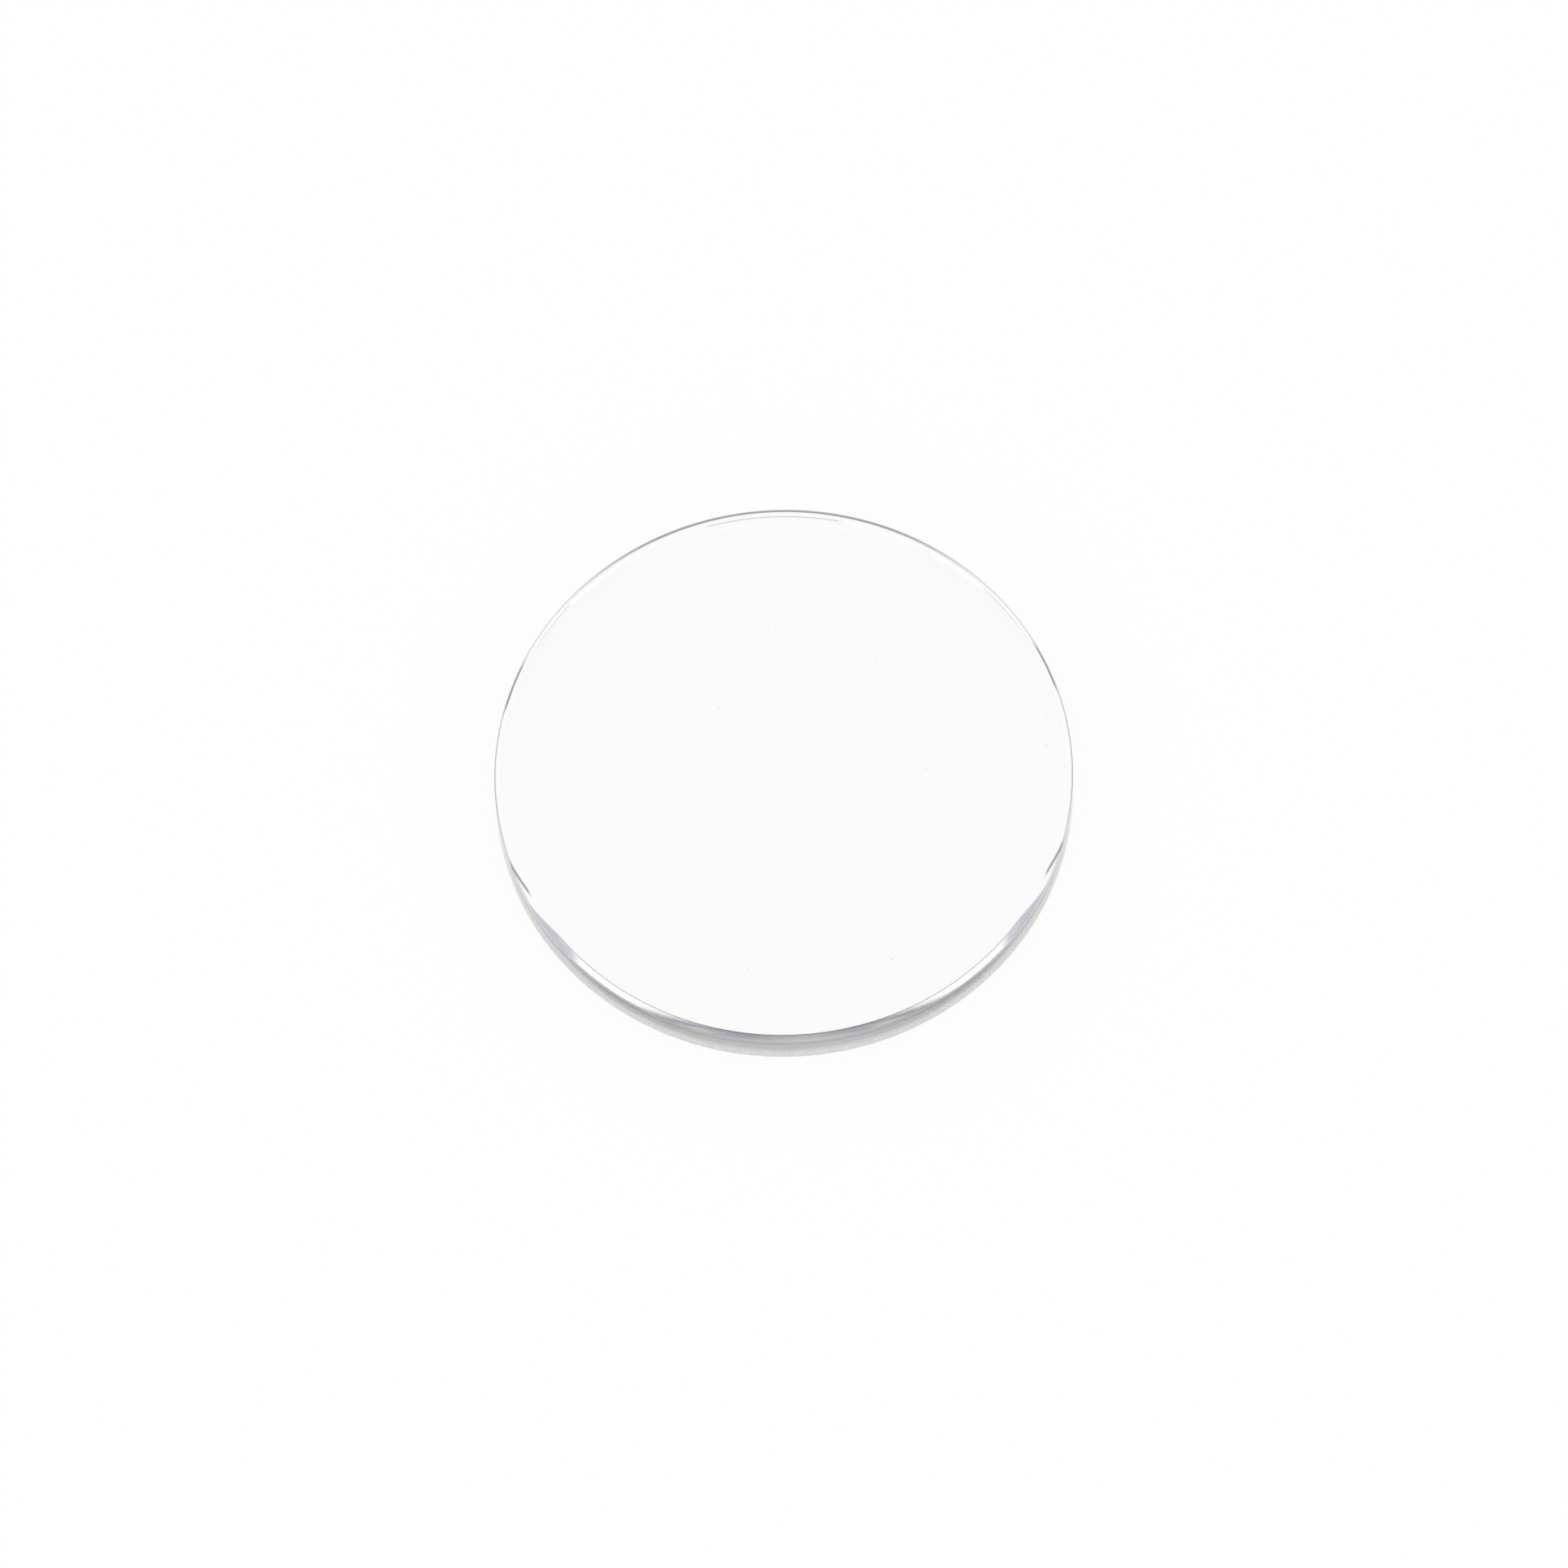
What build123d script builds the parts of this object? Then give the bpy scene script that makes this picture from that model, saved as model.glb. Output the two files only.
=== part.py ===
from build123d import *
from math import radians, tan
import os

# Flat round watch crystal: one plate of clear glass, bevelled round both of its faces.
# Millimetres, +Z up. The origin is the centre of the underside, which seats in the watch case.

# The glass plate
diameter = 31.5
thickness = 2.5

# The polished bevel round the top face: its width across the face, and its angle below that face in degrees
top_bevel_width = 0.3
top_bevel_angle = 50.0

# The small bevel round the underside, which eases the crystal into its gasket
under_bevel_width = 0.05
under_bevel_angle = 45.0

# The radius that polishing leaves where the top face turns down into its bevel, and on the other rim corners
face_corner_radius = 0.05
corner_radius = 0.02


def bevel_height(width, angle):
    """The height of wall that a bevel takes away."""
    return width * tan(radians(angle))


def half_section():
    """Half of the crystal's cross-section, from its axis out to the wall, with sharp corners."""
    wall_radius = diameter / 2
    wall_foot = bevel_height(under_bevel_width, under_bevel_angle)
    wall_top = thickness - bevel_height(top_bevel_width, top_bevel_angle)
    corners = [
        (0, 0),
        (wall_radius - under_bevel_width, 0),
        (wall_radius, wall_foot),
        (wall_radius, wall_top),
        (wall_radius - top_bevel_width, thickness),
        (0, thickness),
    ]
    with BuildSketch(Plane.XZ) as section:
        with BuildLine():
            Polyline(*corners, close=True)
        make_face()
    return section.sketch


def plain_corners(section):
    """The rim's three lower corners. The two corners on the axis come first along X and are left out."""
    return section.vertices().sort_by(Axis.X)[2:].sort_by(Axis.Z)[:-1]


def face_corner(section):
    """The corner where the top face turns down into its bevel."""
    return section.vertices().group_by(Axis.Z)[-1].sort_by(Axis.X)[-1]


def crystal():
    """The whole crystal: its cross-section, with softened corners, turned once about its axis."""
    section = half_section()
    section = fillet(plain_corners(section), corner_radius)
    section = fillet(face_corner(section), face_corner_radius)
    return revolve(section, Axis.Z, 360)


os.makedirs("parts", exist_ok=True)
export_step(crystal(), "parts/crystal.step")
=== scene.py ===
"""Dresses a flat watch crystal: the turned glass and its finishes, a pale studio and the camera."""
import logging
from collections import Counter
from dataclasses import dataclass, field, replace
from enum import Enum
from math import acos, asin, atan2, cos, pi, radians, sin, tan
from typing import Union

import bmesh
import bpy
from mathutils import Matrix, Vector


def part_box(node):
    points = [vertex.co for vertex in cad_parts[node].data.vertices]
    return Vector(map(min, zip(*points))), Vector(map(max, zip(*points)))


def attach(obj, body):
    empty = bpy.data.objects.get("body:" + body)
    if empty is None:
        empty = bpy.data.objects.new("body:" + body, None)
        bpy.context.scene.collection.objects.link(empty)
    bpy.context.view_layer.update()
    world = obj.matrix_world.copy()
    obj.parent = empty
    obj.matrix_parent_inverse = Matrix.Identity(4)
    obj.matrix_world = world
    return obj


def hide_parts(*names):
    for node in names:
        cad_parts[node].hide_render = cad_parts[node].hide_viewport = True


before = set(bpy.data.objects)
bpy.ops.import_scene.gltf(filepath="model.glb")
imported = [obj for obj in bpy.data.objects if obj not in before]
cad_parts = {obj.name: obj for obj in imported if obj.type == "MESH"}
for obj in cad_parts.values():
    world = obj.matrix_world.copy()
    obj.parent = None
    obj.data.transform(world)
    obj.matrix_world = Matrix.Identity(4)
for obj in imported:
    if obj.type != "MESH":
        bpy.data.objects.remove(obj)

logging.basicConfig(level=logging.INFO, format="%(name)s: %(message)s")
log = logging.getLogger("watch_crystal")

MM = 0.001
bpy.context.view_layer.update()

# Light runs round inside the rim many times before it leaves, so a lower limit turns parts of the rim black.
BOUNCES = 128

Colour = tuple[float, float, float]
RGBA = tuple[float, float, float, float]
Scales = tuple[float, float, float]
Span = tuple[float, float]
Tree = bpy.types.NodeTree
Socket = bpy.types.NodeSocket
Value = Union[Socket, float]
Tint = Union[Socket, Colour]


class Zone(Enum):
    """The surfaces of the glass. The value is the name of the mesh attribute that marks its faces."""

    FACE = "flat_face"
    TOP_BEVEL = "top_bevel"
    WALL = "rim_wall"
    UNDER_BEVEL = "under_bevel"
    CORNER = "corner"


class Nodes:
    """Places and joins the nodes of one shader tree, from left to right."""

    COLUMN: int = 220

    def __init__(self, tree: Tree) -> None:
        """Starts on an empty tree.

        Args:
            tree: the node tree of a material, a world or a node group.
        """
        self.tree = tree
        self.tree.nodes.clear()

    def add(self, kind: str, label: str, **settings: object) -> bpy.types.Node:
        """Adds one node.

        Args:
            kind: the node's type name, such as ShaderNodeMath.
            label: what the node does, in plain words.
            settings: its own properties, such as operation.

        Returns:
            The new node.
        """
        node = self.tree.nodes.new(kind)
        node.label = label
        node.location = (self.COLUMN * len(self.tree.nodes), 0)
        for name, value in settings.items():
            setattr(node, name, value)
        return node

    def feed(self, socket: Socket, value: Union[Value, tuple]) -> None:
        """Joins a socket to another node's output, or sets it to a plain value.

        Args:
            socket: the input that is fed.
            value: an output socket, a number or a tuple.
        """
        if isinstance(value, Socket):
            self.tree.links.new(value, socket)
        else:
            socket.default_value = value

    def math(self, operation: str, label: str, *values: Value) -> Socket:
        """Adds a Math node.

        Args:
            operation: the operation's name, such as MULTIPLY.
            label: what it works out.
            values: its inputs, as sockets or numbers.

        Returns:
            The result's socket.
        """
        node = self.add("ShaderNodeMath", label, operation=operation)
        for socket, value in zip(node.inputs, values):
            self.feed(socket, value)
        return node.outputs[0]

    def ramp(self, label: str, value: Value, span: tuple[Value, Value], result: Span) -> Socket:
        """Adds a smooth Map Range node.

        Args:
            label: what it works out.
            value: the value that is mapped.
            span: the two values between which the result changes.
            result: the result at the first of them and at the second.

        Returns:
            The result's socket.
        """
        node = self.add("ShaderNodeMapRange", label, interpolation_type="SMOOTHSTEP", clamp=True)
        self.feed(node.inputs["Value"], value)
        for name, given in zip(("From Min", "From Max", "To Min", "To Max"), (*span, *result)):
            self.feed(node.inputs[name], given)
        return node.outputs["Result"]

    def place(self) -> Socket:
        """The point of the surface in the object's own frame."""
        return self.add("ShaderNodeTexCoord", "place on the glass").outputs["Object"]

    def reach(self) -> Socket:
        """Works out how far the point lies from the crystal's axis.

        Returns:
            The distance's socket, in metres.
        """
        level = self.add("ShaderNodeVectorMath", "place across the axis", operation="MULTIPLY")
        self.feed(level.inputs[0], self.place())
        self.feed(level.inputs[1], (1.0, 1.0, 0.0))
        length = self.add("ShaderNodeVectorMath", "distance from the axis", operation="LENGTH")
        self.feed(length.inputs[0], level.outputs["Vector"])
        return length.outputs["Value"]

    def height(self) -> Socket:
        """Reads how far the point lies above the crystal's underside.

        Returns:
            The height's socket, in metres.
        """
        parts = self.add("ShaderNodeSeparateXYZ", "height above the underside")
        self.feed(parts.inputs["Vector"], self.place())
        return parts.outputs["Z"]

    def stretched(self, label: str, scale: Scales, turn: float = 0.0) -> Socket:
        """Turns the point about the crystal's axis and stretches it.

        Args:
            label: what the stretch is for.
            scale: the three scales.
            turn: the turn about the axis, in radians.

        Returns:
            The changed point's socket.
        """
        node = self.add("ShaderNodeMapping", label)
        self.feed(node.inputs["Vector"], self.place())
        self.feed(node.inputs["Rotation"], (0.0, 0.0, turn))
        self.feed(node.inputs["Scale"], scale)
        return node.outputs["Vector"]

    def noise(self, label: str, point: Socket, scale: Value, detail: float, roughness: float) -> Socket:
        """Adds a noise texture.

        Args:
            label: what the noise stands for.
            point: where it is read.
            scale: how many grains there are to a metre.
            detail: how many finer layers it has.
            roughness: how strong the finer layers are.

        Returns:
            The noise's value, around a half.
        """
        node = self.add("ShaderNodeTexNoise", label, noise_dimensions="3D")
        named = {"Vector": point, "Scale": scale, "Detail": detail, "Roughness": roughness}
        for name, value in named.items():
            self.feed(node.inputs[name], value)
        return node.outputs["Fac"]

    def tint(self, label: str, factor: Value, first: Tint, second: Tint) -> Socket:
        """Mixes two colours.

        Args:
            label: what the mix stands for.
            factor: the share of the second colour.
            first: the first colour, as a socket or three numbers.
            second: the second colour.

        Returns:
            The mixed colour's socket.
        """
        node = self.add("ShaderNodeMixRGB", label, use_clamp=True)
        self.feed(node.inputs["Fac"], factor)
        for name, colour in (("Color1", first), ("Color2", second)):
            self.feed(node.inputs[name], opaque(colour) if isinstance(colour, tuple) else colour)
        return node.outputs["Color"]

    def blend(self, label: str, share: Value, first: Value, second: Value) -> Socket:
        """Mixes two values.

        Args:
            label: what the mix stands for.
            share: the share of the second value.
            first: the first value, as a socket or a number.
            second: the second value.

        Returns:
            The mixed value's socket.
        """
        change = self.math("SUBTRACT", f"change to {label}", second, first)
        return self.math("MULTIPLY_ADD", label, change, share, first)

    def marked(self, zone: Zone) -> Socket:
        """Reads the mesh attribute of a zone: 1 on its faces and 0 elsewhere."""
        node = self.add("ShaderNodeAttribute", zone.value, attribute_name=zone.value)
        return node.outputs["Fac"]


def opaque(colour: Colour) -> RGBA:
    """A colour with an alpha of 1."""
    return (*colour, 1.0)


def new_group(name: str, inputs: tuple[str, ...], outputs: tuple[str, ...]) -> tuple[Tree, Nodes]:
    """Starts a shader node group.

    Args:
        name: the group's name.
        inputs: the name of each input. A finish sets those that it needs.
        outputs: the name of each output.

    Returns:
        The group and the helper that fills it.
    """
    group = bpy.data.node_groups.new(name, "ShaderNodeTree")
    for label in inputs:
        group.interface.new_socket(label, in_out="INPUT", socket_type="NodeSocketFloat")
    for label in outputs:
        group.interface.new_socket(label, in_out="OUTPUT", socket_type="NodeSocketFloat")
    return group, Nodes(group)


@dataclass(frozen=True)
class SettledDust:
    """Fine dust that has settled on the glass, as round specks of uneven size."""

    middle_share: float = 0.4

    def group(self) -> Tree:
        """Makes the node group.

        Returns:
            A group whose Mask is up to 1 on a speck and 0 between specks.
        """
        group, nodes = new_group("settled dust", ("Specks per metre", "Speck size"), ("Mask",))
        given = nodes.add("NodeGroupInput", "sizes").outputs
        cells = nodes.add("ShaderNodeTexVoronoi", "one speck a cell", feature="F1", voronoi_dimensions="3D")
        nodes.feed(cells.inputs["Vector"], nodes.place())
        nodes.feed(cells.inputs["Scale"], given["Specks per metre"])
        chance = nodes.add("ShaderNodeSeparateColor", "a few random numbers a cell")
        nodes.feed(chance.inputs["Color"], cells.outputs["Color"])
        size = nodes.math("MULTIPLY", "each speck's own size", given["Speck size"], chance.outputs["Red"])
        middle = nodes.math("MULTIPLY", "its solid middle", size, self.middle_share)
        mask = nodes.ramp("soft edge", cells.outputs["Distance"], (middle, size), (1.0, 0.0))
        faint = nodes.math("MULTIPLY", "some specks are fainter", mask, chance.outputs["Green"])
        nodes.feed(nodes.add("NodeGroupOutput", "mask").inputs["Mask"], faint)
        return group


@dataclass(frozen=True)
class WipingHairlines:
    """Hairline scratches from wiping: thin, short and in three directions."""

    turns: tuple[float, ...] = (0.3, 1.4, 2.5)
    stretch: Scales = (90.0, 700.0, 90.0)
    wave_detail: float = 1.0
    patches_per_metre: float = 260.0
    patch_detail: float = 2.0
    patch_levels: Span = (0.56, 0.64)
    noise_roughness: float = 0.5

    def line(self, nodes: Nodes, turn: float, width: Socket) -> Socket:
        """Adds the scratches of one direction, which follow the places where slow waves cross their middle.

        Args:
            nodes: the group's nodes.
            turn: the direction, in radians about the crystal's axis.
            width: how far from the waves' middle a scratch reaches.

        Returns:
            The mask of these scratches.
        """
        along = nodes.stretched("along the scratches", self.stretch, turn)
        waves = nodes.noise("waves", along, 1.0, self.wave_detail, self.noise_roughness)
        centred = nodes.math("SUBTRACT", "centred waves", waves, 0.5)
        off = nodes.math("ABSOLUTE", "distance from a line", centred)
        line = nodes.ramp("thin line", off, (0.0, width), (1.0, 0.0))
        turned = nodes.stretched("turned", (1.0, 1.0, 1.0), turn)
        scale = self.patches_per_metre
        patches = nodes.noise("patches", turned, scale, self.patch_detail, self.noise_roughness)
        shown = nodes.ramp("where the lines show", patches, self.patch_levels, (0.0, 1.0))
        return nodes.math("MULTIPLY", "broken line", line, shown)

    def group(self) -> Tree:
        """Makes the node group.

        Returns:
            A group whose Mask is 1 along a scratch.
        """
        group, nodes = new_group("hairline scratches", ("Width",), ("Mask",))
        width = nodes.add("NodeGroupInput", "width").outputs["Width"]
        lines = self.line(nodes, self.turns[0], width)
        for turn in self.turns[1:]:
            lines = nodes.math("MAXIMUM", "all lines", lines, self.line(nodes, turn, width))
        nodes.feed(nodes.add("NodeGroupOutput", "mask").inputs["Mask"], lines)
        return group


@dataclass(frozen=True)
class GroundGrain:
    """The grain of a fine grinding wheel, drawn out along the crystal's axis."""

    upright_scale: float = 0.3
    grain_detail: float = 3.0
    grain_roughness: float = 0.6
    patch_detail: float = 2.0
    patch_roughness: float = 0.5

    def group(self) -> Tree:
        """Makes the node group.

        Returns:
            A group whose Grain and slower Patch each vary round a half.
        """
        sizes = ("Grains per metre", "Patches per metre")
        group, nodes = new_group("ground grain", sizes, ("Grain", "Patch"))
        given = nodes.add("NodeGroupInput", "sizes").outputs
        grains = given["Grains per metre"]
        patches = given["Patches per metre"]
        upright = nodes.stretched("drawn out along the axis", (1.0, 1.0, self.upright_scale))
        grain = nodes.noise("grain", upright, grains, self.grain_detail, self.grain_roughness)
        patch = nodes.noise("patches", upright, patches, self.patch_detail, self.patch_roughness)
        result = nodes.add("NodeGroupOutput", "grain").inputs
        nodes.feed(result["Grain"], grain)
        nodes.feed(result["Patch"], patch)
        return group


@dataclass(frozen=True)
class Effects:
    """The node groups that the finishes use, each made once."""

    dust: Tree = field(default_factory=SettledDust().group)
    hairlines: Tree = field(default_factory=WipingHairlines().group)
    grain: Tree = field(default_factory=GroundGrain().group)


def use_group(nodes: Nodes, group: Tree, values: dict[str, float]) -> bpy.types.NodeOutputs:
    """Places a group in a material.

    Args:
        nodes: the material's nodes.
        group: the group.
        values: what its inputs are set to.

    Returns:
        The group's outputs.
    """
    node = nodes.add("ShaderNodeGroup", group.name, node_tree=group)
    for name, value in values.items():
        nodes.feed(node.inputs[name], value)
    return node.outputs


@dataclass(frozen=True)
class Rim:
    """The distances from the axis of the upper bevel's inner and outer edges."""

    face_reach: float
    wall_reach: float


@dataclass(frozen=True)
class View:
    """How a point of the glass is met.

    The slant is 0 where the surface faces the viewer and 1 where it is seen edge on. Of the other two, inside
    is 1 where light meets the surface from inside the glass, and outside is 1 where it comes from outside.
    """

    slant: Socket
    inside: Socket
    outside: Socket


@dataclass(frozen=True)
class Look:
    """What one finish gives to the glass: the socket of its colour and that of its roughness."""

    colour: Socket
    roughness: Socket


@dataclass(frozen=True)
class ClearPolishAndPaintedFringe:
    """The flat faces, the lower bevel and the soft corners: polished clear, with a little dust and hairlines.

    Light that only just leaves a face from inside takes a dark violet edge, which is painted shade.
    """

    clean: Colour = (0.97, 0.97, 0.97)
    dusty: Colour = (0.72, 0.72, 0.72)
    # Painted shade: dark violet where light only just leaves a face from inside.
    painted_fringe: Colour = (0.07, 0.06, 0.11)
    fringe_slants: Span = (0.1715, 0.1762)
    specks_per_metre: float = 900.0
    speck_size: float = 0.1
    hairline_width: float = 0.004
    hairline_strength: float = 0.06
    clean_roughness: float = 0.0
    dusty_roughness: float = 0.25

    def look(self, nodes: Nodes, effects: Effects, view: View) -> Look:
        """Adds the finish's nodes, with its painted shade.

        Args:
            nodes: the glass's nodes.
            effects: the shared groups.
            view: how the point is met.

        Returns:
            The finish's colour and roughness.
        """
        sizes = {"Specks per metre": self.specks_per_metre, "Speck size": self.speck_size}
        dust = use_group(nodes, effects.dust, sizes)["Mask"]
        lines = use_group(nodes, effects.hairlines, {"Width": self.hairline_width})["Mask"]
        faint = nodes.math("MULTIPLY", "faint hairlines", lines, self.hairline_strength)
        marks = nodes.math("MAXIMUM", "dust and hairlines", dust, faint)
        colour = nodes.tint("marks on the glass", marks, self.clean, self.dusty)
        # Painted shade: the face's colour turns dark violet where light leaves it at a graze from inside.
        grazing = nodes.ramp("light that only just leaves", view.slant, self.fringe_slants, (0.0, 1.0))
        painted_edge_colour = nodes.tint("fringe from inside", grazing, self.clean, self.painted_fringe)
        colour = nodes.tint("outside or inside of a face", view.inside, colour, painted_edge_colour)
        dull = nodes.blend("duller marks", marks, self.clean_roughness, self.dusty_roughness)
        return Look(colour, dull)


@dataclass(frozen=True)
class PaintedStreak:
    """A painted streak of shade on the upper bevel, which crosses it as the bevel turns away.

    It begins and ends at the two slants, and its middle lies at the two places there. A place is 0 at the
    bevel's outer edge and 1 at its inner edge, and the width is measured in the same way. Soft is how far its
    sides fade, and fade is by how much slant its ends do.
    """

    colour: Colour
    slants: Span
    places: Span
    width: float
    soft: float = 0.12
    fade: float = 0.008

    def mask(self, nodes: Nodes, view: View, across: Socket) -> Socket:
        """Adds the streak's mask.

        Args:
            nodes: the glass's nodes.
            view: how the point is met.
            across: the place across the bevel, 0 at its outer edge and 1 at its inner edge.

        Returns:
            The mask, 1 in the streak.
        """
        first, last = self.slants
        start, end = self.places
        lean = (end - start) / (last - first)
        middle = nodes.math("MULTIPLY_ADD", "the streak's middle", view.slant, lean, start - first * lean)
        to_middle = nodes.math("SUBTRACT", "to the middle", across, middle)
        off = nodes.math("ABSOLUTE", "off the middle", to_middle)
        sides = (self.width / 2 - self.soft, self.width / 2 + self.soft)
        band = nodes.ramp("the streak's width", off, sides, (1.0, 0.0))
        opening = (first - self.fade, first + self.fade)
        closing = (last - self.fade, last + self.fade)
        begun = nodes.ramp("the streak's start", view.slant, opening, (0.0, 1.0))
        left = nodes.ramp("the streak's end", view.slant, closing, (1.0, 0.0))
        shown = nodes.math("MULTIPLY", "from start to end", begun, left)
        # The streak is painted shade on the bevel's colour.
        return nodes.math("MULTIPLY", "painted dark streak", band, shown)


@dataclass(frozen=True)
class EdgePolishAndPaintedShade:
    """The upper bevel: polished clear with a worn outer part, and painted shade: dark streaks, dark where
    edge on.

    Light that leaves through it from inside the glass is tinted grey, a painted shade which sets how dark the
    arc at the front of the rim is.
    """

    clear: Colour = (1.0, 1.0, 1.0)
    # Painted shade: light leaving the bevel from inside is tinted grey, which darkens the arc at the rim's
    # front.
    inside: Colour = (0.31, 0.31, 0.31)
    # Painted shade: the bevel turns nearly black where it is seen edge on.
    painted_shade_edge_on: Colour = (0.03, 0.03, 0.035)
    edge_slants: Span = (0.6, 0.7)
    # Painted shade: a dark violet strip along the bevel's outer edge, where it turns away.
    painted_dark_strip: Colour = (0.06, 0.05, 0.09)
    outer_width: float = 0.13 * MM
    outer_slants: Span = (0.2, 0.42)
    # Painted shade: each streak darkens the bevel in a band that crosses it as the bevel turns away.
    arc_shade: PaintedStreak = PaintedStreak(
        colour=(0.5, 0.48, 0.54),
        slants=(0.108, 0.1308),
        places=(1.1, -0.1),
        width=0.5,
        soft=0.25,
        fade=0.003,
    )
    painted_inner_line: PaintedStreak = PaintedStreak(
        colour=(0.22, 0.22, 0.19),
        slants=(0.05, 0.225),
        places=(1.05, 1.05),
        width=0.5,
    )
    painted_grey_stretch: PaintedStreak = PaintedStreak(
        colour=(0.3, 0.28, 0.36),
        slants=(0.215, 0.287),
        places=(0.75, -0.5),
        width=1.1,
    )
    painted_side_streak: PaintedStreak = PaintedStreak(
        colour=(0.08, 0.08, 0.08),
        slants=(0.282, 0.337),
        places=(0.95, 0.0),
        width=0.3,
    )
    painted_far_tick: PaintedStreak = PaintedStreak(
        colour=(0.02, 0.02, 0.02),
        slants=(0.505, 0.56),
        places=(0.35, 0.35),
        width=0.35,
    )
    patches_per_metre: float = 1500.0
    patch_levels: Span = (0.3, 0.7)
    smoothest: float = 0.01
    roughest: float = 0.05
    frosted: float = 0.5
    frost_places: Span = (0.05, 0.35)
    frost_slants: Span = (0.12, 0.15)

    def across(self, nodes: Nodes, rim: Rim) -> Socket:
        """The place across the bevel: 0 at its outer edge and 1 at its inner edge."""
        inward = nodes.math("SUBTRACT", "distance in from the wall", rim.wall_reach, nodes.reach())
        return nodes.math("DIVIDE", "place across the bevel", inward, rim.wall_reach - rim.face_reach)

    def frost(self, nodes: Nodes, view: View, rim: Rim) -> Socket:
        """Adds the frost of the bevel's worn outer part, where it faces the viewer.

        Args:
            nodes: the glass's nodes.
            view: how the point is met.
            rim: where the bevel's edges lie.

        Returns:
            How much light the point throws back.
        """
        outer = nodes.ramp("outer part", self.across(nodes, rim), self.frost_places, (self.frosted, 0.0))
        front = nodes.ramp("part that faces the viewer", view.slant, self.frost_slants, (1.0, 0.0))
        worn = nodes.math("MULTIPLY", "worn part", outer, front)
        shown = nodes.math("MULTIPLY", "worn part met from outside", worn, view.outside)
        return nodes.math("MULTIPLY", "frost of the bevel alone", shown, nodes.marked(Zone.TOP_BEVEL))

    def outer_edge(self, nodes: Nodes, view: View, rim: Rim) -> Socket:
        """Adds the mask of the painted dark strip of shade along the bevel's outer edge.

        Args:
            nodes: the glass's nodes.
            view: how the point is met.
            rim: where the bevel's edges lie.

        Returns:
            The mask.
        """
        place = (rim.wall_reach - self.outer_width, rim.wall_reach)
        band = nodes.ramp("strip along the edge", nodes.reach(), place, (0.0, 1.0))
        shown = nodes.ramp("where the strip shows", view.slant, self.outer_slants, (0.0, 1.0))
        return nodes.math("MULTIPLY", "painted dark strip", band, shown)

    def look(self, nodes: Nodes, effects: Effects, view: View, rim: Rim) -> Look:
        """Adds the finish's nodes, with its painted shade.

        Args:
            nodes: the glass's nodes.
            effects: the shared groups.
            view: how the point is met.
            rim: where the bevel's edges lie.

        Returns:
            The finish's colour and roughness.
        """
        patch = use_group(nodes, effects.grain, {"Patches per metre": self.patches_per_metre})["Patch"]
        # Painted shade where the bevel is nearly edge on.
        painted_shade_edge_on = nodes.ramp("nearly edge on", view.slant, self.edge_slants, (0.0, 1.0))
        colour = nodes.tint("darker edge on", painted_shade_edge_on, self.clear, self.painted_shade_edge_on)
        # Painted shade: the dark strip along the bevel's outer edge.
        outer = self.outer_edge(nodes, view, rim)
        colour = nodes.tint("colour with the outer strip", outer, colour, self.painted_dark_strip)
        across = self.across(nodes, rim)
        # Painted shade: the streaks darken the bevel's colour.
        streaks = {
            "shade along the grey arc": self.arc_shade,
            "line along the inner edge": self.painted_inner_line,
            "painted grey stretch": self.painted_grey_stretch,
            "slanting streak at the side": self.painted_side_streak,
            "tick at the far side": self.painted_far_tick,
        }
        for label, streak in streaks.items():
            mask = streak.mask(nodes, view, across)
            colour = nodes.tint(label, mask, colour, streak.colour)
        # Painted shade: the grey tint on light that leaves the bevel from inside.
        colour = nodes.tint("outside or inside of the bevel", view.inside, colour, self.inside)
        uneven = nodes.ramp("uneven polish", patch, self.patch_levels, (self.smoothest, self.roughest))
        return Look(colour, uneven)


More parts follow.
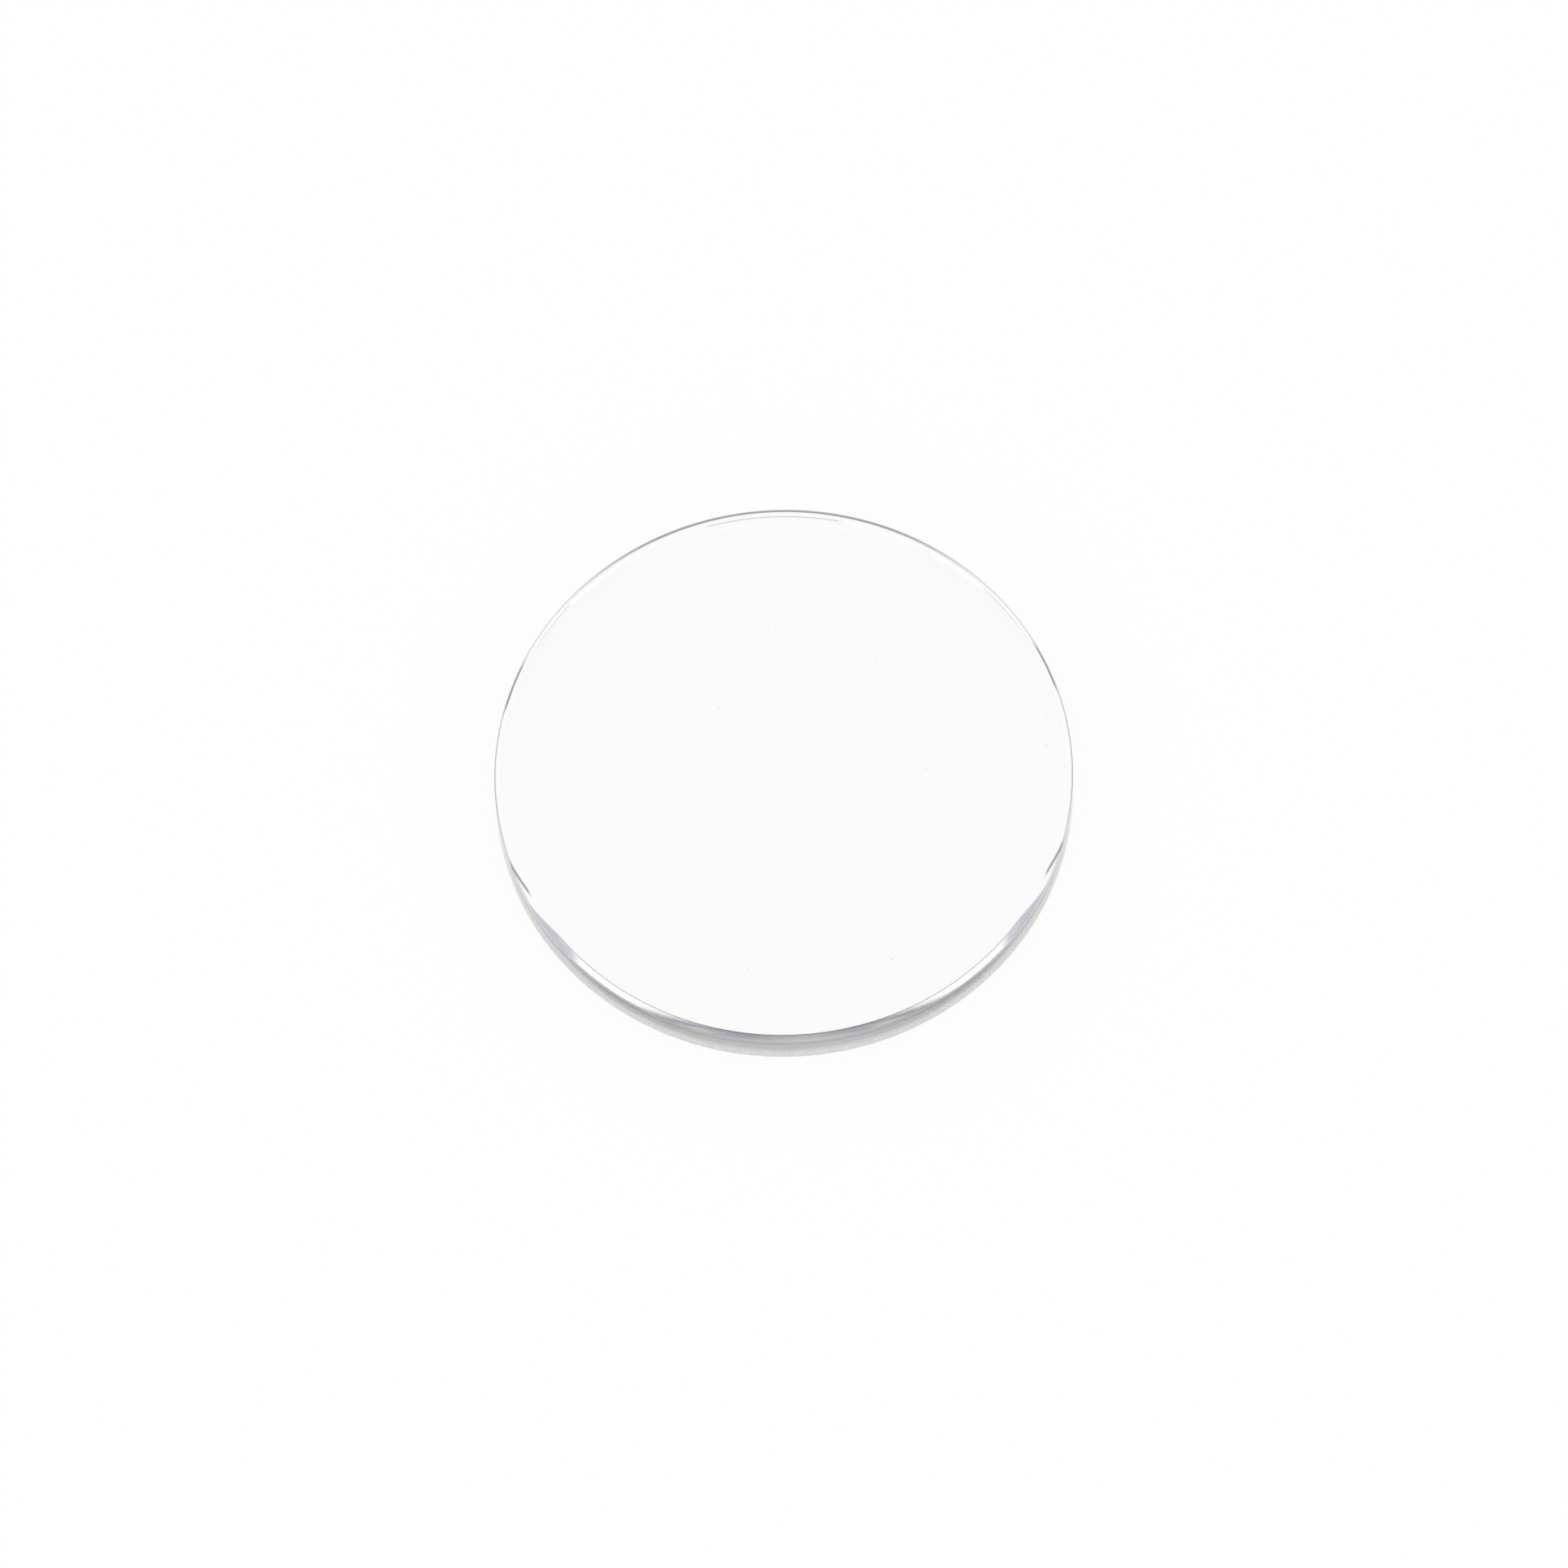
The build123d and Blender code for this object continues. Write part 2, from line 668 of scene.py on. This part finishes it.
@dataclass(frozen=True)
class SatinWallAndPaintedShade:
    """The rim's wall: satin with a visible grain at its foot, and painted shade: lighter at its top, grey in
    its middle.

    Its painted grey changes as it turns aside, where its top also takes a painted violet edge. Light that
    leaves through it from inside the glass isn't tinted.
    """

    # Painted shade: the wall's grey, darker turned aside, lighter far aside and at its top.
    painted_wall_shade: Colour = (0.28, 0.28, 0.28)
    aside: Colour = (0.15, 0.15, 0.15)
    aside_slants: Span = (0.61, 0.68)
    painted_far_aside: Colour = (0.36, 0.36, 0.36)
    far_slants: Span = (0.7, 0.78)
    far_frost: float = 0.5
    painted_light_top: Colour = (0.7, 0.7, 0.7)
    crest_heights: Span = (1.75 * MM, 1.95 * MM)
    even_slants: Span = (0.66, 0.74)
    inside: Colour = (1.0, 1.0, 1.0)
    # Painted shade: a violet edge along the wall's top where it turns aside.
    painted_fringe: Colour = (0.2, 0.18, 0.3)
    fringe_start: float = 1.7 * MM
    fringe_full: float = 2.1 * MM
    pale: Colour = (0.4, 0.4, 0.4)
    least_pale: float = 0.55
    frost_start: float = 1.25 * MM
    frost_full: float = 0.5 * MM
    least_frost: float = 0.75
    grains_per_metre: float = 14000.0
    grain_levels: Span = (0.4, 0.6)
    grain_start: float = 1.3 * MM
    grain_full: float = 0.8 * MM
    smoothest: float = 0.01
    roughest: float = 0.12
    bump_height: float = 0.002 * MM
    bump_strength: float = 0.4
    aside_bump: float = 0.1

    def uneven(self, nodes: Nodes, effects: Effects, view: View, least: float) -> Socket:
        """Adds a share that varies with the grain, and is even where the wall is turned aside.

        Args:
            nodes: the glass's nodes.
            effects: the shared groups.
            view: how the point is met.
            least: the share between the grains. On a grain it is 1.

        Returns:
            The share.
        """
        grain = use_group(nodes, effects.grain, {"Grains per metre": self.grains_per_metre})["Grain"]
        varied = nodes.ramp("share by the grain", grain, self.grain_levels, (least, 1.0))
        aside = nodes.ramp("evener aside", view.slant, self.even_slants, (0.0, 1.0))
        return nodes.blend("share, evener aside", aside, varied, (least + 1.0) / 2)

    def grain(self, nodes: Nodes, effects: Effects, view: View) -> Socket:
        """Adds the paler, coarser grain of the wall's foot, which shows only from outside.

        Args:
            nodes: the glass's nodes.
            effects: the shared groups.
            view: how the point is met.

        Returns:
            How much of the grain shows.
        """
        foot = nodes.ramp("lower half", nodes.height(), (self.grain_full, self.grain_start), (1.0, 0.0))
        coarse = self.uneven(nodes, effects, view, self.least_pale)
        grain = nodes.math("MULTIPLY", "grain of the foot", foot, coarse)
        return nodes.math("MULTIPLY", "grain met from outside", grain, view.outside)

    def frost(self, nodes: Nodes, effects: Effects, view: View) -> Socket:
        """Adds the frost of the wall's ground surface, which grows towards the foot.

        Args:
            nodes: the glass's nodes.
            effects: the shared groups.
            view: how the point is met.

        Returns:
            How much light the point throws back.
        """
        foot = nodes.ramp("towards the foot", nodes.height(), (self.frost_full, self.frost_start), (1.0, 0.0))
        uneven = self.uneven(nodes, effects, view, self.least_frost)
        frost = nodes.math("MULTIPLY", "frost of the foot", foot, uneven)
        aside = nodes.ramp("less frost far aside", view.slant, self.far_slants, (1.0, self.far_frost))
        frost = nodes.math("MULTIPLY", "frost, less of it far aside", frost, aside)
        shown = nodes.math("MULTIPLY", "frost met from outside", frost, view.outside)
        return nodes.math("MULTIPLY", "frost of the wall alone", shown, nodes.marked(Zone.WALL))

    def look(self, nodes: Nodes, view: View, grain: Socket) -> Look:
        """Adds the finish's nodes, with its painted light and shade.

        Args:
            nodes: the glass's nodes.
            view: how the point is met.
            grain: how much of the coarser grain shows.

        Returns:
            The finish's colour and roughness.
        """
        # Painted light and shade on the wall, by how far it is turned away and by height.
        aside = nodes.ramp("turned aside", view.slant, self.aside_slants, (0.0, 1.0))
        far = nodes.ramp("turned far aside", view.slant, self.far_slants, (0.0, 1.0))
        painted_fringe = nodes.ramp("upper edge", nodes.height(), (self.fringe_start, self.fringe_full), (0.0, 1.0))
        edge = nodes.math("MULTIPLY", "upper edge turned aside", painted_fringe, aside)
        colour = nodes.tint("darker aside", aside, self.painted_wall_shade, self.aside)
        colour = nodes.tint("lighter far aside", far, colour, self.painted_far_aside)
        painted_light_top = nodes.ramp("top of the wall", nodes.height(), self.crest_heights, (0.0, 1.0))
        colour = nodes.tint("painted lighter top", painted_light_top, colour, self.painted_light_top)
        colour = nodes.tint("violet fringe", edge, colour, self.painted_fringe)
        colour = nodes.tint("pale grains", grain, colour, self.pale)
        colour = nodes.tint("outside or inside of the wall", view.inside, colour, self.inside)
        return Look(colour, nodes.blend("satin", grain, self.smoothest, self.roughest))

    def bump(self, nodes: Nodes, view: View, grain: Socket) -> Socket:
        """Adds the grain's relief, which is shallower where the wall is turned aside.

        Args:
            nodes: the glass's nodes.
            view: how the point is met.
            grain: how much of the coarser grain shows.

        Returns:
            The normal's socket.
        """
        bump = nodes.add("ShaderNodeBump", "grain")
        bump.inputs["Strength"].default_value = self.bump_strength
        bump.inputs["Distance"].default_value = self.bump_height
        flatter = nodes.ramp("flatter aside", view.slant, self.aside_slants, (1.0, self.aside_bump))
        relief = nodes.math("MULTIPLY", "relief", grain, flatter)
        relief = nodes.math("MULTIPLY", "relief of the wall alone", relief, nodes.marked(Zone.WALL))
        nodes.feed(bump.inputs["Height"], relief)
        return bump.outputs["Normal"]


@dataclass(frozen=True)
class CrystalGlass:
    """The clear plate glass itself, faintly grey through its depth, with a finish and painted shade for each
    of its surfaces.

    Its coat is the frost of the ground wall and of the worn part of the bevel.
    """

    ior: float = 1.76
    depth_tint: Colour = (0.5, 0.5, 0.5)
    depth_density: float = 10.0
    frost_ior: float = 4.0
    frost_roughness: float = 0.4
    faces: ClearPolishAndPaintedFringe = ClearPolishAndPaintedFringe()
    bevel: EdgePolishAndPaintedShade = EdgePolishAndPaintedShade()
    wall: SatinWallAndPaintedShade = SatinWallAndPaintedShade()

    def material(self, effects: Effects, rim: Rim) -> bpy.types.Material:
        """Builds the glass.

        Args:
            effects: the shared groups.
            rim: where the rim's corners lie.

        Returns:
            The material.
        """
        material = bpy.data.materials.new("crystal_glass")
        material.use_nodes = True
        nodes = Nodes(material.node_tree)
        shader = nodes.add("ShaderNodeBsdfPrincipled", "glass")
        shader.inputs["Transmission Weight"].default_value = 1.0
        shader.inputs["Metallic"].default_value = 0.0
        shader.inputs["IOR"].default_value = self.ior
        depth = nodes.add("ShaderNodeVolumeAbsorption", "faintly grey through its depth")
        depth.inputs["Color"].default_value = opaque(self.depth_tint)
        depth.inputs["Density"].default_value = self.depth_density
        slant = nodes.add("ShaderNodeLayerWeight", "how far it is turned away").outputs["Facing"]
        inside = nodes.add("ShaderNodeNewGeometry", "met from inside").outputs["Backfacing"]
        outside = nodes.math("SUBTRACT", "met from outside", 1.0, inside)
        view = View(slant, inside, outside)
        grain = self.wall.grain(nodes, effects, view)
        faces = self.faces.look(nodes, effects, view)
        colour = faces.colour
        roughness = faces.roughness
        bevel = self.bevel.look(nodes, effects, view, rim)
        looks = {Zone.TOP_BEVEL: bevel, Zone.WALL: self.wall.look(nodes, view, grain)}
        for zone, look in looks.items():
            marked = nodes.marked(zone)
            colour = nodes.tint(f"colour with {zone.value}", marked, colour, look.colour)
            roughness = nodes.blend(f"roughness with {zone.value}", marked, roughness, look.roughness)
        nodes.feed(shader.inputs["Base Color"], colour)
        nodes.feed(shader.inputs["Roughness"], roughness)
        nodes.feed(shader.inputs["Normal"], self.wall.bump(nodes, view, grain))
        wall_frost = self.wall.frost(nodes, effects, view)
        bevel_frost = self.bevel.frost(nodes, view, rim)
        frost = nodes.math("ADD", "frost of wall and bevel", wall_frost, bevel_frost)
        nodes.feed(shader.inputs["Coat Weight"], frost)
        shader.inputs["Coat IOR"].default_value = self.frost_ior
        shader.inputs["Coat Roughness"].default_value = self.frost_roughness
        result = nodes.add("ShaderNodeOutputMaterial", "surface and depth")
        nodes.feed(result.inputs["Surface"], shader.outputs["BSDF"])
        nodes.feed(result.inputs["Volume"], depth.outputs["Volume"])
        return material


def crowned_line(start: Vector, stop: Vector, crown: float, steps: int) -> list[Vector]:
    """A shallow arc between two points of the half section, standing out to the right of its direction.

    Args:
        start: the first point, as a radius and a height.
        stop: the last point.
        crown: how far the arc's middle stands out from the straight line.
        steps: how many straight steps the arc is cut into.

    Returns:
        The arc's points, with both ends.
    """
    along = (stop - start) / 2
    outward = Vector((along.y, -along.x)).normalized()
    radius = (along.length_squared + crown ** 2) / (2 * crown)
    centre = (start + stop) / 2 - outward * (radius - crown)
    half_turn = asin(along.length / radius)
    turns = [half_turn * (2 * step / steps - 1) for step in range(steps + 1)]
    return [centre + radius * (outward * cos(turn) + along.normalized() * sin(turn)) for turn in turns]


@dataclass(frozen=True)
class Crystal:
    """The glass: its half cross-section, turned once about the axis, with a bevel round each face."""

    node: str = "crystal"
    top_bevel_width: float = 0.3 * MM
    top_bevel_height: float = 0.3585 * MM
    under_bevel_width: float = 0.05 * MM
    under_bevel_height: float = 0.05 * MM
    bevel_crown: float = 0.0012 * MM
    bevel_steps: int = 6
    inner_corner_radius: float = 0.05 * MM
    corner_radius: float = 0.02 * MM
    corner_steps: int = 6
    facets: int = 720
    ring_shares: tuple[float, ...] = (0.35, 0.7, 0.93)
    merge_distance: float = 0.0001 * MM
    flat_turn: float = radians(1.5)
    glass: CrystalGlass = CrystalGlass()

    def half_section(self, shape: bmesh.types.BMesh) -> None:
        """Lays out the section as a wire, from the middle of the underside round the rim to that of the top.

        Args:
            shape: the mesh that is filled.
        """
        low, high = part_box(self.node)
        # The box of the faceted node lies unevenly far out, so its nearest side keeps the glass inside it.
        radius = min(-low.x, high.x, -low.y, high.y)
        under_radius = radius - self.under_bevel_width
        top_radius = radius - self.top_bevel_width
        lower_face = [Vector((under_radius * share, low.z)) for share in (0.0, *self.ring_shares)]
        upper_face = [Vector((top_radius * share, high.z)) for share in (0.0, *self.ring_shares)]
        rim = [Vector((under_radius, low.z)), Vector((radius, low.z + self.under_bevel_height))]
        outer = Vector((radius, high.z - self.top_bevel_height))
        inner = Vector((top_radius, high.z))
        bevel = crowned_line(outer, inner, self.bevel_crown, self.bevel_steps)
        outline = [*lower_face, *rim, *bevel, *reversed(upper_face)]
        points = [shape.verts.new((point.x, 0.0, point.y)) for point in outline]
        for start, stop in zip(points, points[1:]):
            shape.edges.new((start, stop))
        lower = len(lower_face)
        upper = lower + len(rim)
        softened = {
            points[lower]: self.corner_radius,
            points[lower + 1]: self.corner_radius,
            points[upper]: self.corner_radius,
            points[upper + self.bevel_steps]: self.inner_corner_radius,
        }
        for corner, size in softened.items():
            bmesh.ops.bevel(
                shape, geom=[corner], offset=size * tan(corner.calc_edge_angle() / 2), offset_type="OFFSET",
                segments=self.corner_steps, profile=0.5, affect="VERTICES", material=-1,
            )

    def turn_section(self, shape: bmesh.types.BMesh) -> None:
        """Spins the half section once round the axis and closes its seam and its two poles.

        Args:
            shape: the mesh that holds the section.
        """
        bmesh.ops.spin(
            shape, geom=[*shape.verts, *shape.edges], cent=(0.0, 0.0, 0.0), axis=(0.0, 0.0, 1.0),
            angle=2 * pi, steps=self.facets, use_merge=True, use_duplicate=False,
        )
        bmesh.ops.remove_doubles(shape, verts=shape.verts, dist=self.merge_distance)
        bmesh.ops.recalc_face_normals(shape, faces=shape.faces)

    def zone(self, face: bmesh.types.BMFace) -> Zone:
        """Tells which surface a face belongs to, by how far its normal is tilted from the axis.

        Args:
            face: a face of the turned mesh.

        Returns:
            Its zone.
        """
        tilt = acos(max(-1.0, min(1.0, face.normal.z)))
        lands = {
            Zone.WALL: pi / 2,
            Zone.TOP_BEVEL: atan2(self.top_bevel_height, self.top_bevel_width),
            Zone.UNDER_BEVEL: pi - atan2(self.under_bevel_height, self.under_bevel_width),
        }
        if min(tilt, pi - tilt) < self.flat_turn:
            return Zone.FACE
        for zone, middle in lands.items():
            if abs(tilt - middle) < self.flat_turn:
                return zone
        return Zone.CORNER

    def mark_zones(self, shape: bmesh.types.BMesh) -> None:
        """Marks each face's zone in the mesh, and keeps the shading of each zone to itself.

        Args:
            shape: the turned mesh.
        """
        for zone in Zone:
            shape.faces.layers.float.new(zone.value)
        marks = {zone: shape.faces.layers.float[zone.value] for zone in Zone}
        zones = {face: self.zone(face) for face in shape.faces}
        for face, zone in zones.items():
            face.smooth = True
            face[marks[zone]] = 1.0
        for edge in shape.edges:
            first, second = edge.link_faces
            edge.smooth = zones[first] is zones[second]
        log.info("faces in each zone: %s", dict(Counter(zone.value for zone in zones.values())))

    def build(self, effects: Effects) -> bpy.types.Object:
        """Makes the glass, dresses it and puts it in its node's place.

        Args:
            effects: the shared groups.

        Returns:
            The finished piece.
        """
        shape = bmesh.new()
        self.half_section(shape)
        self.turn_section(shape)
        self.mark_zones(shape)
        mesh = bpy.data.meshes.new("crystal_glass")
        shape.to_mesh(mesh)
        shape.free()
        low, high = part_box(self.node)
        # The finishes find the bevel's edges from half of the node's width.
        reach = (high.x - low.x) / 2
        rim = Rim(reach - self.top_bevel_width, reach)
        mesh.materials.append(self.glass.material(effects, rim))
        piece = bpy.data.objects.new("crystal_glass", mesh)
        bpy.context.scene.collection.objects.link(piece)
        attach(piece, "root")
        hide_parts(self.node)
        return piece


@dataclass(frozen=True)
class SoftBox:
    """One soft lamp that faces the crystal, at a bearing and a rise in degrees. Bearing 0 is in front.

    Its distance and size are in metres, and its radiance is that of its surface, where the room's is 1.
    """

    name: str
    bearing: float
    rise: float
    distance: float
    width: float
    height: float
    radiance: float
    only_reflected: bool = False
    colour: Colour = (1.0, 1.0, 1.0)

    def place(self, target: Vector) -> bpy.types.Object:
        """Hangs the lamp.

        Args:
            target: the point that it faces.

        Returns:
            The lamp.
        """
        data = bpy.data.lights.new(self.name, "AREA")
        data.shape = "RECTANGLE"
        data.size = self.width
        data.size_y = self.height
        data.color = self.colour
        data.energy = self.radiance * self.width * self.height * pi
        lamp = bpy.data.objects.new(self.name, data)
        bpy.context.scene.collection.objects.link(lamp)
        bearing = radians(self.bearing)
        rise = radians(self.rise)
        way = Vector((sin(bearing) * cos(rise), -cos(bearing) * cos(rise), sin(rise)))
        lamp.location = target + way * self.distance
        lamp.rotation_euler = way.to_track_quat("Z", "Y").to_euler()
        lamp.visible_camera = False
        lamp.visible_diffuse = not self.only_reflected
        return lamp


@dataclass(frozen=True)
class Studio:
    """A pale floor, an even white room, and three soft boxes: a wide one in front and one to each side of it.

    The two at the sides show only in reflections and through the glass, and don't light the floor.
    """

    floor_reach: float = 2.0
    floor_gap: float = 0.05 * MM
    floor_colour: Colour = (0.93, 0.93, 0.93)
    white_share: float = 0.93
    room: Colour = (1.0, 1.0, 1.0)
    right_box: SoftBox = SoftBox(
        name="right_soft_box",
        bearing=53.5,
        rise=15.0,
        distance=0.8,
        width=0.54,
        height=0.33,
        radiance=0.6,
        only_reflected=True,
    )
    left_box: SoftBox = replace(right_box, name="left_soft_box", bearing=-right_box.bearing)
    front_box: SoftBox = SoftBox(
        name="front_soft_box",
        bearing=0.0,
        rise=30.0,
        distance=0.9,
        width=1.16,
        height=0.6,
        radiance=0.4,
    )

    def build_floor(self) -> bpy.types.Object:
        """Lays the floor a hair under the crystal.

        Returns:
            The floor.
        """
        shape = bmesh.new()
        bmesh.ops.create_grid(shape, x_segments=1, y_segments=1, size=self.floor_reach)
        bmesh.ops.translate(shape, verts=shape.verts, vec=(0.0, 0.0, -self.floor_gap))
        mesh = bpy.data.meshes.new("studio_floor")
        shape.to_mesh(mesh)
        shape.free()
        floor = bpy.data.objects.new("studio_floor", mesh)
        bpy.context.scene.collection.objects.link(floor)
        mesh.materials.append(self.floor_material())
        return floor

    def floor_material(self) -> bpy.types.Material:
        """White to the camera and in glass, with a share of real shading that keeps the crystal's shadow.

        Returns:
            The material.
        """
        material = bpy.data.materials.new("studio_floor")
        material.use_nodes = True
        nodes = Nodes(material.node_tree)
        paper = nodes.add("ShaderNodeBsdfDiffuse", "paper")
        nodes.feed(paper.inputs["Color"], opaque(self.floor_colour))
        white = nodes.add("ShaderNodeEmission", "white")
        path = nodes.add("ShaderNodeLightPath", "what looks at the floor").outputs
        seen = nodes.math("MULTIPLY", "the camera", path["Is Camera Ray"], self.white_share)
        glass = nodes.math("MAXIMUM", "glass", path["Is Glossy Ray"], path["Is Transmission Ray"])
        mix = nodes.add("ShaderNodeMixShader", "paper or white")
        nodes.feed(mix.inputs["Fac"], nodes.math("MAXIMUM", "share of white", seen, glass))
        nodes.feed(mix.inputs[1], paper.outputs["BSDF"])
        nodes.feed(mix.inputs[2], white.outputs["Emission"])
        surface = nodes.add("ShaderNodeOutputMaterial", "surface")
        nodes.feed(surface.inputs["Surface"], mix.outputs["Shader"])
        return material

    def build_room(self) -> None:
        """Fills the room with an even light."""
        world = bpy.data.worlds.new("studio_room")
        bpy.context.scene.world = world
        world.use_nodes = True
        nodes = Nodes(world.node_tree)
        air = nodes.add("ShaderNodeBackground", "even light")
        nodes.feed(air.inputs["Color"], opaque(self.room))
        room = nodes.add("ShaderNodeOutputWorld", "room")
        nodes.feed(room.inputs["Surface"], air.outputs["Background"])

    def build(self, target: Vector) -> None:
        """Sets up the studio round a point.

        Args:
            target: the point that the lamps face.
        """
        floor = self.build_floor()
        log.info("%s: %.1f m across", floor.name, 2 * self.floor_reach)
        self.build_room()
        for box in (self.right_box, self.left_box, self.front_box):
            lamp = box.place(target)
            log.info("%s: %.2f by %.2f m", lamp.name, box.width, box.height)


@dataclass(frozen=True)
class Camera:
    """A long lens that looks down on the crystal, a little tilted, as in the photograph.

    The elevation and the roll are in degrees, and the sensor's width is in millimetres. The widths of the
    frame and of the crystal are those in the photograph, in pixels.
    """

    elevation: float = 66.9
    roll: float = -2.2
    distance: float = 1.5
    sensor: float = 36.0
    frame_pixels: float = 1932.0
    crystal_pixels: float = 712.6
    aim_share: float = 0.35

    def build(self, low: Vector, high: Vector) -> bpy.types.Object:
        """Sets the camera up so that the crystal fills the same share of the frame as in the photograph.

        Args:
            low: the crystal's lowest corner.
            high: its highest corner.

        Returns:
            The camera.
        """
        aim = Vector((0.0, 0.0, low.z + (high.z - low.z) * self.aim_share))
        view_width = (high.x - low.x) * self.frame_pixels / self.crystal_pixels
        data = bpy.data.cameras.new("camera")
        data.sensor_width = self.sensor
        data.lens = self.sensor * self.distance / view_width
        camera = bpy.data.objects.new("camera", data)
        bpy.context.scene.collection.objects.link(camera)
        rise = radians(self.elevation)
        back = Vector((0.0, -cos(rise), sin(rise)))
        camera.location = aim + back * self.distance
        level = back.to_track_quat("Z", "Y").to_matrix()
        camera.rotation_euler = (level @ Matrix.Rotation(radians(self.roll), 3, "Z")).to_euler()
        bpy.context.scene.camera = camera
        return camera


def triangles(piece: bpy.types.Object) -> int:
    """How many triangles a piece has."""
    piece.data.calc_loop_triangles()
    return len(piece.data.loop_triangles)


def main() -> None:
    """Builds the crystal and its studio."""
    crystal = Crystal()
    piece = crystal.build(Effects())
    log.info("%s: %d triangles", piece.name, triangles(piece))
    low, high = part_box(crystal.node)
    Studio().build((low + high) / 2)
    camera = Camera().build(low, high)
    log.info("%s: %.0f mm lens", camera.name, camera.data.lens)
    scene = bpy.context.scene
    scene.view_settings.view_transform = "Standard"
    scene.cycles.max_bounces = BOUNCES
    scene.cycles.glossy_bounces = BOUNCES
    scene.cycles.transmission_bounces = BOUNCES


if __name__ == "__main__":
    main()
